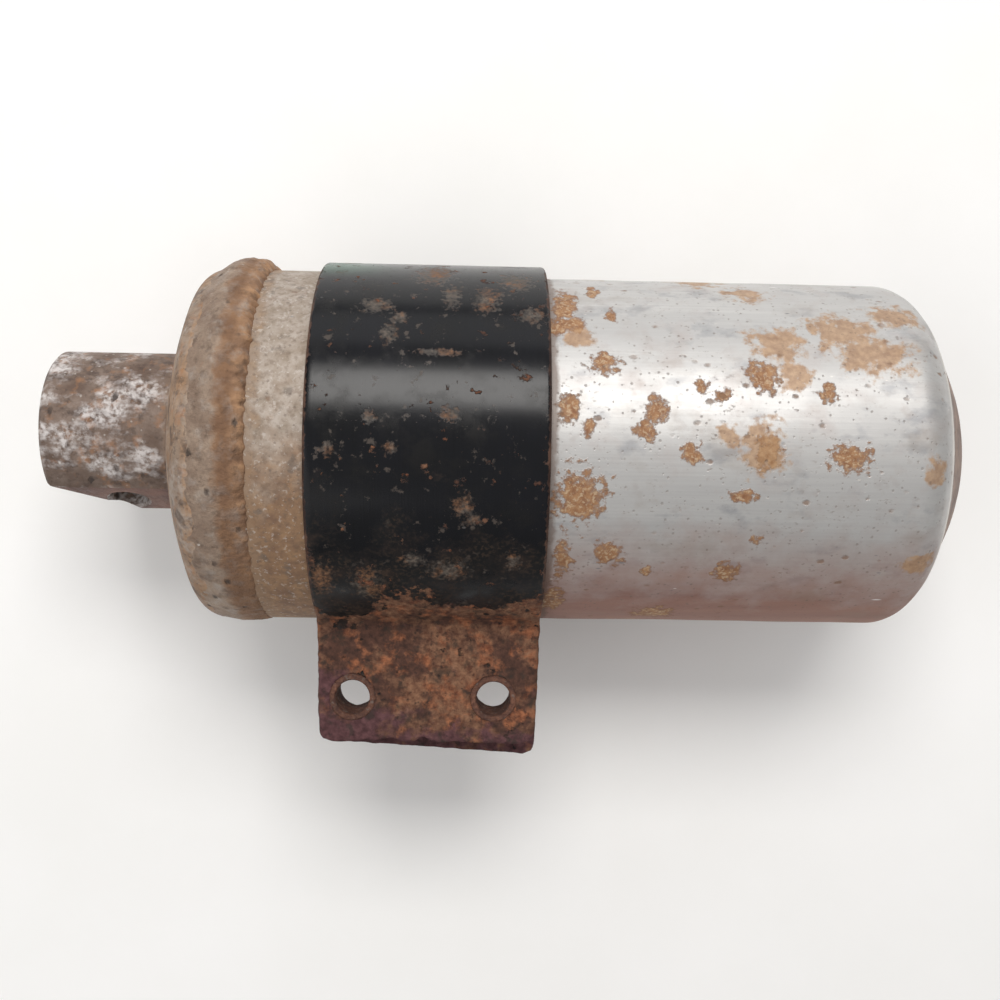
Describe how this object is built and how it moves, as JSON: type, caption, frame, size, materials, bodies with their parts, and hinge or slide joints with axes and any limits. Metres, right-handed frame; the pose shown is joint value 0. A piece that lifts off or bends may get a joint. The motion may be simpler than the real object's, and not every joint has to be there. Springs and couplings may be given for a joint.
{
  "type": "receiver drier",
  "caption": "Aluminium receiver-drier can with a welded ported head, held in a steel strap clamp with a two-hole bolting flange.",
  "frame": {"origin": "midway between the two bracket bolt holes, on the front face of the clamp's front flange", "axes": "+X along the can from its ported head to its closed end, +Z out of the clamp flange's front face along the bolt holes, +Y from the bolt line towards the can"},
  "size_m": [0.1985, 0.1089, 0.0818],
  "materials": {
    "can_aluminium": "satin drawn aluminium, stained",
    "head_aluminium": "dull forged aluminium, oxidised",
    "weld_metal": "rippled weld, dusty",
    "strap_paint": "semi-gloss black paint, rusted at the flange",
    "sleeve_steel": "rusted steel",
    "tube_aluminium": "drawn aluminium",
    "ring_rubber": "matte",
    "spring_steel": "drawn steel wire",
    "plate_steel": "plated sheet",
    "filter_felt": "pressed felt",
    "desiccant": "matte beads",
    "moulded_nylon": "moulded",
    "woven_screen": "fine woven wire"
  },
  "bodies": {
    "strap": {"mounting_strap": "strap_paint", "left_bolt_sleeve": "sleeve_steel", "right_bolt_sleeve": "sleeve_steel"},
    "can": {"body_shell": "can_aluminium", "head_cap": "head_aluminium", "weld_bead": "weld_metal", "pickup_tube": "tube_aluminium", "tube_o_ring": "ring_rubber", "inlet_deflector": "tube_aluminium", "deflector_clip": "spring_steel", "compression_spring": "spring_steel", "upper_perforated_plate": "plate_steel", "upper_felt_pad": "filter_felt", "desiccant_bed": "desiccant", "lower_felt_pad": "filter_felt", "lower_perforated_plate": "plate_steel", "tube_grommet": "moulded_nylon", "strainer_cage": "moulded_nylon", "strainer_screen": "woven_screen", "strainer_band": "spring_steel"}
  },
  "joints": [
    {"name": "can_turn", "type": "hinge", "parent": "strap", "child": "can", "pos_m": [0, 0.0539, -0.015], "axis": [1, 0, 0], "continuous": true}
  ]
}
